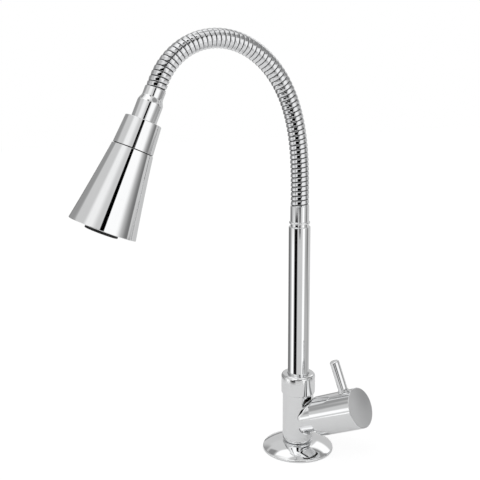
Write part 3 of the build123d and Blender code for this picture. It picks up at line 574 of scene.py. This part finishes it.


# hose: a strip wound round a liner, in stretches laid along the curve through the hose's joints

hose = {
    "radius": 8.1, "crown": 0.1, "lean": 0.25, "turnsPerLink": 4, "steps": 56, "seamAngle": 90,
    "stripWidth": 3.2, "stripRoot": 6.8, "edgeRound": 0.14, "cornerIn": 0.25, "cornerAlong": 0.35,
    "crownShares": (-0.86, -0.6, -0.3, 0, 0.3, 0.6, 0.86),
    "liner": 7.0, "linerInside": 6.2, "linerSteps": 48, "linerPitch": 1.0, "fewestRings": 2,
    "blendReach": 5.0, "startTurns": 1.0, "endTurns": 2.0}
linkCount = len(bendPoints) - 1
bendHeights = [0.0]
for first, second in zip(bendPoints, bendPoints[1:]):
    bendHeights.append(bendHeights[-1] + (second - first).length)
hosePitch = bendHeights[-1] / (linkCount * hose["turnsPerLink"])
tangents = [Vector((0, 0, 1))]
for index in range(1, linkCount):
    tangents.append((bendPoints[index + 1] - bendPoints[index - 1]).normalized())
tangents.append(headAxis.normalized())


def alongHose(height):
    # the point and the heading at a length along the hose, in metres
    index = 0
    while index < linkCount - 1 and height > bendHeights[index + 1]:
        index += 1
    span = bendHeights[index + 1] - bendHeights[index]
    share = (height - bendHeights[index]) / span
    if share < 0:
        return bendPoints[0] + tangents[0] * (height - bendHeights[0]), tangents[0]
    if share > 1:
        return bendPoints[-1] + tangents[-1] * (height - bendHeights[-1]), tangents[-1]
    p0, p1 = bendPoints[index], bendPoints[index + 1]
    m0, m1 = tangents[index] * span, tangents[index + 1] * span
    t, t2, t3 = share, share ** 2, share ** 3
    point = p0 * (2 * t3 - 3 * t2 + 1) + m0 * (t3 - 2 * t2 + t)
    point += p1 * (3 * t2 - 2 * t3) + m1 * (t3 - t2)
    slope = p0 * (6 * t2 - 6 * t) + m0 * (3 * t2 - 4 * t + 1)
    slope += p1 * (6 * t - 6 * t2) + m1 * (3 * t2 - 2 * t)
    return point, slope.normalized()


def stripOutline(height):
    # the strip's edge nearer the spray head lies lower, and its crown is curved
    half = hose["stripWidth"] / 2
    corner = hose["edgeRound"]
    wide = hose["radius"] - hose["crown"]
    narrow = hose["radius"] - hose["crown"] - 2 * hose["lean"]
    inward, along = corner * hose["cornerIn"], corner * hose["cornerAlong"]
    points = [(hose["stripRoot"], -half)]
    points.append((wide - corner, -half))
    points.append((wide - inward, -half + along))
    for share in hose["crownShares"]:
        lean = hose["lean"] * (1 + share)
        points.append((hose["radius"] - lean - hose["crown"] * share * share, half * share))
    points.append((narrow - inward, half - along))
    points.append((narrow - corner, half))
    points.append((hose["stripRoot"], half))
    return [(radius, height + rise) for radius, rise in points]


def makeHoseStretch(firstTurn, lastTurn):
    # the strip and its liner are made straight up, then laid along the hose
    bm = bmesh.new()
    turns = lastTurn - firstTurn
    bottom, top = firstTurn * hosePitch / mm, lastTurn * hosePitch / mm
    outline = stripOutline(bottom)
    verts = [bm.verts.new((radius * mm, 0, height * mm)) for radius, height in outline]
    edges = [bm.edges.new(pair) for pair in zip(verts, verts[1:] + verts[:1])]
    bmesh.ops.rotate(
        bm, verts=verts, cent=(0, 0, 0),
        matrix=Matrix.Rotation(math.radians(hose["seamAngle"]), 3, "Z"))
    bmesh.ops.spin(
        bm, geom=verts + edges, cent=(0, 0, 0), axis=(0, 0, 1), angle=math.tau * turns,
        dvec=(0, 0, hosePitch / hose["steps"]), steps=round(turns * hose["steps"]))
    ends = [edge for edge in bm.edges if edge.is_boundary]
    bmesh.ops.holes_fill(bm, edges=ends, sides=0)
    rings = max(hose["fewestRings"], round((top - bottom) / hose["linerPitch"]))
    heights = [bottom + (top - bottom) * index / rings for index in range(rings + 1)]
    liner = [(hose["liner"], height) for height in heights]
    liner += [(hose["linerInside"], height) for height in reversed(heights)]
    linerShell = bmesh.new()
    spinOutline(linerShell, liner, hose["linerSteps"])
    for face in linerShell.faces:
        face.material_index = 1
    joinShell(bm, linerShell)
    bmesh.ops.recalc_face_normals(bm, faces=bm.faces)
    across = Vector((1, 0, 0))
    for vert in bm.verts:
        point, heading = alongHose(vert.co.z)
        vert.co = point + across * vert.co.x + heading.cross(across) * vert.co.y
    return bm


hoseLinks = [f"hose_link_{number:02d}" for number in range(1, linkCount + 1)]
hoseBodies = ["spout"] + hoseLinks + ["head"]
# for these the far body and the near one trade places and the reach is turned round, though no
# step below uses them: the other way round, rounding in the pivot's arithmetic throws the stretch
# aside at all_min or all_max
farFirst = (7, 13, 15)
for number in range(linkCount + 1):
    perLink = hose["turnsPerLink"]
    firstTurn = max(-hose["startTurns"], number * perLink - perLink // 2)
    lastTurn = min(linkCount * perLink + hose["endTurns"], number * perLink + perLink // 2)
    bm = makeHoseStretch(firstTurn, lastTurn)
    node = hoseBodies[number + 1] if number < linkCount else None
    stretch = finishPiece(
        bm, f"hoseStretch_{number:02d}", bodyPlace, "hoseChrome", None, node)
    stretch.data.materials.append(materials["hoseShadow"])
    reach = tangents[number] * hose["blendReach"] * mm
    first, last = hoseBodies[number], hoseBodies[number + 1]
    if number in farFirst:
        first, last, reach = last, first, -reach
    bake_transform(stretch)
print("hose made in", linkCount + 1, "stretches")


# head

neck = {
    "bore": 5.6, "start": 6.1, "sleeve": 8.4, "sleeveEnd": 12.4, "bellEnd": 18.4,
    "radius": 10.25, "end": 32.4, "spigot": 8.5, "spigotEnd": 38.4, "startRound": 0.35,
    "bellSteps": 12}
bell = []
for step in range(neck["bellSteps"] + 1):
    t = step / neck["bellSteps"]
    ease = 3 * t * t - 2 * t * t * t
    bell.append((
        neck["sleeve"] + (neck["radius"] - neck["sleeve"]) * ease,
        neck["sleeveEnd"] + (neck["bellEnd"] - neck["sleeveEnd"]) * t))
turnPiece(
    "hoseNeck",
    [(neck["bore"], neck["start"]), (neck["sleeve"], neck["start"])] + bell + [
        (neck["radius"], neck["end"]), (neck["spigot"], neck["end"]),
        (neck["spigot"], neck["spigotEnd"]), (neck["bore"], neck["spigotEnd"])],
    headPlace, "polishedChrome", "head", "hose_neck", steps=96,
    rounds=[(neck["sleeve"], neck["start"], neck["startRound"], 3)])

ring = {
    "top": 14.7, "start": 32.4, "seam": 16.4, "end": 55.5, "round": 0.5, "thread": 8.55,
    "ledge": 40.0, "wall": 2.2, "floor": 51.6, "hole": 7.0, "spigot": 11.0, "spigotEnd": 64.6,
    "bore": 5.6, "seamRound": 0.18, "paintedShadeRise": 0.1, "paintedShadeInset": 0.15}
headRing = turnPiece(
    "headRing",
    [(ring["thread"], ring["start"]), (ring["top"], ring["start"]), (ring["seam"], ring["end"]),
     (ring["spigot"], ring["end"]), (ring["spigot"], ring["spigotEnd"]),
     (ring["hole"], ring["spigotEnd"]), (ring["hole"], ring["floor"]),
     (ring["top"] - 2 * ring["wall"], ring["floor"]),
     (ring["top"] - 2 * ring["wall"], ring["ledge"] + ring["wall"]),
     (ring["bore"], ring["ledge"] + ring["wall"]), (ring["bore"], ring["ledge"]),
     (ring["thread"], ring["ledge"])],
    headPlace, "polishedChrome", "head", "head_ring", steps=112,
    rounds=[(ring["top"], ring["start"], ring["round"], 4),
            (ring["seam"], ring["end"], ring["seamRound"], 2)])
# painted shade: the step inside the seam gets black plastic, so that the seam reads as a dark
# line
headRing.data.materials.append(materials["blackPlastic"])
toHead = headPlace.inverted()
# the painted shade covers the faces past the seam's end and inside its radius
paintedShadeStart = (ring["end"] - ring["paintedShadeRise"]) * mm
paintedShadeRadius = (ring["seam"] - ring["paintedShadeInset"]) * mm
for face in headRing.data.polygons:
    middle = toHead @ face.center
    if middle.z > paintedShadeStart and middle.xy.length < paintedShadeRadius:
        face.material_index = 1

cone = {
    "top": 16.8, "start": 56.15, "mouth": 27.5, "end": 122.25, "flare": 0.3, "wall": 1.6,
    "rimRound": 0.55, "lipRound": 0.4, "seamRound": 0.18, "hub": 13.2, "hubHole": 11.05,
    "hubEnd": 61.95, "roof": 58.15, "outsideSteps": 26}
outside = arcThrough(
    (cone["top"], cone["start"]),
    ((cone["top"] + cone["mouth"]) / 2 - cone["flare"], (cone["start"] + cone["end"]) / 2),
    (cone["mouth"], cone["end"]), cone["outsideSteps"])
slope = (cone["mouth"] - cone["top"]) / (cone["end"] - cone["start"])
roofRadius = cone["top"] - cone["wall"] + slope * (cone["roof"] - cone["start"])
turnPiece(
    "headCone",
    outside + [
        (cone["mouth"] - cone["wall"], cone["end"]), (roofRadius, cone["roof"]),
        (cone["hub"], cone["roof"]), (cone["hub"], cone["hubEnd"]),
        (cone["hubHole"], cone["hubEnd"]), (cone["hubHole"], cone["start"])],
    headPlace, "polishedChrome", "cone", "head_cone", steps=144,
    rounds=[(cone["mouth"], cone["end"], cone["rimRound"], 5),
            (cone["mouth"] - cone["wall"], cone["end"], cone["lipRound"], 3),
            (cone["top"], cone["start"], cone["seamRound"], 2)])

aerator = {
    "socket": 6.52, "stem": 8.0, "stemStart": 111.05, "faceTop": 117.05, "face": 119.25,
    "radius": 13.5, "end": 125.3, "wall": 2.0, "hole": 4.8, "round": 0.4, "lipRound": 0.3}
turnPiece(
    "aeratorCup",
    [(aerator["socket"], aerator["stemStart"]), (aerator["stem"], aerator["stemStart"]),
     (aerator["stem"], aerator["face"]), (aerator["radius"], aerator["face"]),
     (aerator["radius"], aerator["end"]), (aerator["radius"] - aerator["wall"], aerator["end"]),
     (aerator["radius"] - aerator["wall"], aerator["face"] + aerator["wall"]),
     (aerator["hole"], aerator["face"] + aerator["wall"]), (aerator["hole"], aerator["faceTop"]),
     (aerator["socket"], aerator["faceTop"])],
    headPlace, "blackPlastic", "cone", "aerator", steps=96,
    rounds=[(aerator["radius"], aerator["end"], aerator["round"], 4),
            (aerator["radius"] - aerator["wall"], aerator["end"], aerator["lipRound"], 3)])
print("head made")


# studio: grey walls, with lighter and darker panels and black flags that the chrome shows

cameraSide = -31.0  # degrees from +X round to the camera
studioBase = 0.65
studioEdge = 4  # degrees that a panel's top and bottom fade each way, where it names none
# angles are degrees, azimuth from the camera's side and positive to the picture's right;
# a panel covers those before it, and a slanted one moves over as it rises
studioPanels = {
    "ceiling": {
        "azimuth": 0, "width": 181, "soft": 1, "low": 60, "high": 120, "edge": 12,
        "level": 1.05},
    "leftWall": {
        "azimuth": -32, "width": 8, "soft": 20, "softRight": 26, "low": -6, "high": 90,
        "level": 0.97},
    "keyPanel": {
        "azimuth": 42.5, "width": 15.5, "soft": 2, "softRight": 22, "low": -7, "high": 25,
        "level": 1.1},
    "lowKey": {"azimuth": 47, "width": 8, "soft": 9, "low": -60, "high": -7, "level": 1.15},
    "lowRight": {"azimuth": 83, "width": 18, "soft": 9, "low": -60, "high": -10, "level": 0.49},
    "lowRightLine": {
        "azimuth": 112, "width": 4, "soft": 11, "low": -60, "high": -15, "edge": 1.5,
        "level": 0.36},
    "rearWall": {"azimuth": 176, "width": 30, "soft": 14, "low": -60, "high": 28, "level": 0.6},
    "rearLeft": {
        "azimuth": -128, "width": 16, "soft": 12, "low": -8, "high": 33, "edge": 3,
        "level": 0.33},
    "nearRear": {
        "azimuth": -100, "width": 7, "soft": 7, "low": 6, "high": 27, "edge": 3,
        "level": 0.37},
    "farLeft": {
        "azimuth": -158, "width": 14, "soft": 6, "low": -8, "high": 5, "edge": 3,
        "level": 0.24},
    "sideGlow": {
        "azimuth": -76, "width": 12, "soft": 10, "low": -5, "high": 6, "edge": 3,
        "level": 1.15},
    "lowRear": {"azimuth": -132, "width": 14, "soft": 30, "low": -60, "high": -8, "level": 0.18},
    "lowLeft": {
        "azimuth": -72, "width": 6, "soft": 10, "low": -60, "high": -11, "edge": 2,
        "level": 1.2},
    "rightShade": {
        "azimuth": 102, "width": 2, "soft": 34, "softRight": 3, "low": -15, "high": 14,
        "edge": 3, "level": 0.2},
    "rightSky": {
        "azimuth": 97, "width": 42, "soft": 10, "low": 27, "high": 56, "edge": 4,
        "level": 0.32},
    "rightRear": {
        "azimuth": 122, "width": 16, "soft": 8, "low": 17, "high": 30, "edge": 4,
        "level": 0.34},
    "leftGlow": {
        "azimuth": -66, "width": 18, "soft": 7, "low": 46, "high": 82, "edge": 3,
        "level": 1.1},
    "rearGlow": {
        "azimuth": 152, "width": 14, "soft": 4, "low": 27, "high": 44, "edge": 3,
        "level": 1.15},
    "rearShade": {
        "azimuth": 155, "width": 14, "soft": 4, "low": 46, "high": 65, "edge": 2,
        "level": 0.3},
    "leftSky": {
        "azimuth": -152, "width": 22, "soft": 6, "low": 53, "high": 76, "edge": 2,
        "level": 1.15},
    "leftPatch": {
        "azimuth": -128, "width": 14, "soft": 5, "low": 37, "high": 51, "edge": 3,
        "level": 0.28},
    "upperFront": {
        "azimuth": -18, "width": 28, "soft": 10, "low": 47, "high": 74, "edge": 4,
        "level": 1.25},
    "farFloor": {
        "azimuth": 0, "width": 181, "soft": 1, "low": -95, "high": -26, "edge": 3,
        "level": 0.86},
    "zenith": {
        "azimuth": 0, "width": 181, "soft": 1, "low": 76, "high": 120, "edge": 3,
        "level": 0.6},
    "lowFlag": {
        "azimuth": -36.5, "width": 11, "soft": 12, "softRight": 11, "low": -22.5, "high": -10,
        "edge": 0.8, "level": 0.0},
    "hoseFlag": {
        "azimuth": -10, "width": 18, "soft": 4, "low": -9.4, "high": 17, "edge": 0.8,
        "slant": -0.2, "slantFrom": 0, "level": 0.0},
    "dropFlag": {
        "azimuth": 8, "width": 5.5, "soft": 2.5, "low": -11.8, "high": 11.5, "edge": 0.5,
        "slant": 0.15, "slantFrom": 13, "level": 0.0},
    "slantFlag": {
        "azimuth": 13.3, "width": 9, "soft": 1.8, "low": 11.5, "high": 17.4, "edge": 0.5,
        "slant": 1.0, "slantFrom": 15, "level": 0.0},
    "highFlag": {
        "azimuth": 17.4, "width": 7.2, "soft": 1.6, "low": 17.4, "high": 34, "edge": 0.5,
        "slant": 0.45, "slantFrom": 19.4, "level": 0.0},
    "topFlag": {
        "azimuth": 0, "width": 10, "soft": 3, "low": 44, "high": 60, "edge": 2, "level": 0.0},
}


def makeStudio():
    world = bpy.data.worlds.new("studio")
    bpy.context.scene.world = world
    world.use_nodes = True
    tree = world.node_tree
    tree.nodes.clear()

    def calculate(operation, *values):
        node = addNode(tree, "ShaderNodeMath", operation=operation)
        for index, value in enumerate(values):
            if isinstance(value, (int, float)):
                node.inputs[index].default_value = value
            else:
                tree.links.new(value, node.inputs[index])
        return node.outputs[0]

    def fade(value, low, high, start, end):
        return addRange(tree, value, (low, high), (start, end), interpolation_type="SMOOTHSTEP")

    sky = addNode(tree, "ShaderNodeTexCoord")
    split = addNode(tree, "ShaderNodeSeparateXYZ")
    tree.links.new(sky.outputs["Generated"], split.inputs["Vector"])
    azimuth = calculate("DEGREES", calculate("ARCTAN2", split.outputs["Y"], split.outputs["X"]))
    azimuth = calculate("SUBTRACT", azimuth, cameraSide)
    elevation = calculate("DEGREES", calculate("ARCSINE", split.outputs["Z"]))
    level = studioBase
    for panel in studioPanels.values():
        away = calculate("SUBTRACT", azimuth, panel["azimuth"])
        if "slant" in panel:
            lift = calculate("SUBTRACT", elevation, panel["slantFrom"])
            away = calculate("SUBTRACT", away, calculate("MULTIPLY", lift, panel["slant"]))
        away = calculate("WRAP", away, 180, -180)
        width, edge = panel["width"], panel.get("edge", studioEdge)
        leftEnd, rightEnd = width + panel["soft"], width + panel.get("softRight", panel["soft"])
        mask = fade(away, -leftEnd, -width, 0, 1)
        mask = calculate("MULTIPLY", mask, fade(away, width, rightEnd, 1, 0))
        low, high = panel["low"], panel["high"]
        mask = calculate("MULTIPLY", mask, fade(elevation, low - edge, low + edge, 0, 1))
        mask = calculate("MULTIPLY", mask, fade(elevation, high - edge, high + edge, 1, 0))
        mix = addNode(tree, "ShaderNodeMix", data_type="FLOAT")
        tree.links.new(mask, mix.inputs["Factor"])
        if isinstance(level, float):
            mix.inputs["A"].default_value = level
        else:
            tree.links.new(level, mix.inputs["A"])
        mix.inputs["B"].default_value = panel["level"]
        level = mix.outputs["Result"]
    # the camera sees plain white behind the tap, the metal mirrors the studio
    studioLight = addNode(tree, "ShaderNodeBackground")
    studioLight.inputs["Color"].default_value = (1, 1, 1, 1)
    tree.links.new(level, studioLight.inputs["Strength"])
    whiteWall = addNode(tree, "ShaderNodeBackground")
    whiteWall.inputs["Color"].default_value = (1, 1, 1, 1)
    path = addNode(tree, "ShaderNodeLightPath")
    choose = addNode(tree, "ShaderNodeMixShader")
    tree.links.new(path.outputs["Is Camera Ray"], choose.inputs["Fac"])
    tree.links.new(studioLight.outputs["Background"], choose.inputs[1])
    tree.links.new(whiteWall.outputs["Background"], choose.inputs[2])
    output = addNode(tree, "ShaderNodeOutputWorld")
    tree.links.new(choose.outputs["Shader"], output.inputs["Surface"])


makeStudio()

floorLook = {
    "size": 6.0, "colour": (0.88, 0.88, 0.88), "roughness": 0.9, "clear": 0.178,
    "clearEnd": 0.19, "glow": 0.8, "shadowColour": (0.3, 0.3, 0.3)}


def makeFloor(look):
    bm = bmesh.new()
    bmesh.ops.create_grid(bm, x_segments=1, y_segments=1, size=look["size"] / 2)
    mesh = bpy.data.meshes.new("floor")
    bm.to_mesh(mesh)
    bm.free()
    floor = bpy.data.objects.new("floor", mesh)
    bpy.context.scene.collection.objects.link(floor)
    material, tree, shader = addMaterial("paleFloor")
    shader.inputs["Base Color"].default_value = (*look["colour"], 1)
    shader.inputs["Roughness"].default_value = look["roughness"]
    output = tree.nodes["Material Output"]
    path = addNode(tree, "ShaderNodeLightPath")
    place = addNode(tree, "ShaderNodeTexCoord")
    reach = addNode(tree, "ShaderNodeVectorMath", operation="LENGTH")
    tree.links.new(place.outputs["Object"], reach.inputs[0])
    far = addRange(tree, reach.outputs["Value"], (look["clear"], look["clearEnd"]), (0, 1))
    # mirrors see the studio's walls past the near floor
    beyond = addNode(tree, "ShaderNodeMath", operation="MULTIPLY")
    tree.links.new(far, beyond.inputs[0])
    tree.links.new(path.outputs["Is Glossy Ray"], beyond.inputs[1])
    clear = addNode(tree, "ShaderNodeBsdfTransparent")
    mirrorView = addNode(tree, "ShaderNodeMixShader")
    tree.links.new(beyond.outputs[0], mirrorView.inputs["Fac"])
    tree.links.new(shader.outputs["BSDF"], mirrorView.inputs[1])
    tree.links.new(clear.outputs["BSDF"], mirrorView.inputs[2])
    # the camera sees it white, with the shadow kept
    white = addNode(tree, "ShaderNodeEmission")
    white.inputs["Strength"].default_value = look["glow"]
    dim = addNode(tree, "ShaderNodeBsdfDiffuse")
    dim.inputs["Color"].default_value = (*look["shadowColour"], 1)
    cameraView = addNode(tree, "ShaderNodeAddShader")
    tree.links.new(white.outputs["Emission"], cameraView.inputs[0])
    tree.links.new(dim.outputs["BSDF"], cameraView.inputs[1])
    choose = addNode(tree, "ShaderNodeMixShader")
    tree.links.new(path.outputs["Is Camera Ray"], choose.inputs["Fac"])
    tree.links.new(mirrorView.outputs["Shader"], choose.inputs[1])
    tree.links.new(cameraView.outputs["Shader"], choose.inputs[2])
    tree.links.new(choose.outputs["Shader"], output.inputs["Surface"])
    mesh.materials.append(material)


makeFloor(floorLook)

lamp = {"power": 3.0, "size": 0.9, "place": (0.5, -0.7, 1.1), "aim": (0, -0.05, 0.18)}
softLight = bpy.data.lights.new("softLight", "AREA")
softLight.energy = lamp["power"]
softLight.size = lamp["size"]
lampObject = bpy.data.objects.new("softLight", softLight)
bpy.context.scene.collection.objects.link(lampObject)
lampObject.location = lamp["place"]
aim = Vector(lamp["aim"]) - Vector(lamp["place"])
lampObject.rotation_euler = aim.to_track_quat("-Z", "Y").to_euler()
lampObject.visible_glossy = False
print("studio made")


# camera, fitted to the photograph's view

view = {
    "distance": 691.67, "height": 344.41, "turn": 59.0, "yaw": -0.0757, "pitch": 0.2106,
    "roll": -0.0067, "focus": 801.98, "picture": 480, "sensor": 36, "near": 0.01}
turned = Matrix.Rotation(math.radians(view["turn"]), 3, "Z")
forward = Vector((
    math.sin(view["yaw"]) * math.cos(view["pitch"]),
    math.cos(view["yaw"]) * math.cos(view["pitch"]),
    -math.sin(view["pitch"])))
right = Vector((math.cos(view["yaw"]), -math.sin(view["yaw"]), 0))
up = right.cross(forward)
rollCos, rollSin = math.cos(view["roll"]), math.sin(view["roll"])
right, up = right * rollCos + up * rollSin, up * rollCos - right * rollSin
cameraData = bpy.data.cameras.new("camera")
cameraData.sensor_width = view["sensor"]
cameraData.lens = view["focus"] / view["picture"] * view["sensor"]
cameraData.clip_start = view["near"]
camera = bpy.data.objects.new("camera", cameraData)
bpy.context.scene.collection.objects.link(camera)
stand = Matrix((turned @ right, turned @ up, -(turned @ forward))).transposed().to_4x4()
stand.translation = turned @ Vector((0, -view["distance"] * mm, view["height"] * mm))
camera.matrix_world = stand
bpy.context.scene.camera = camera
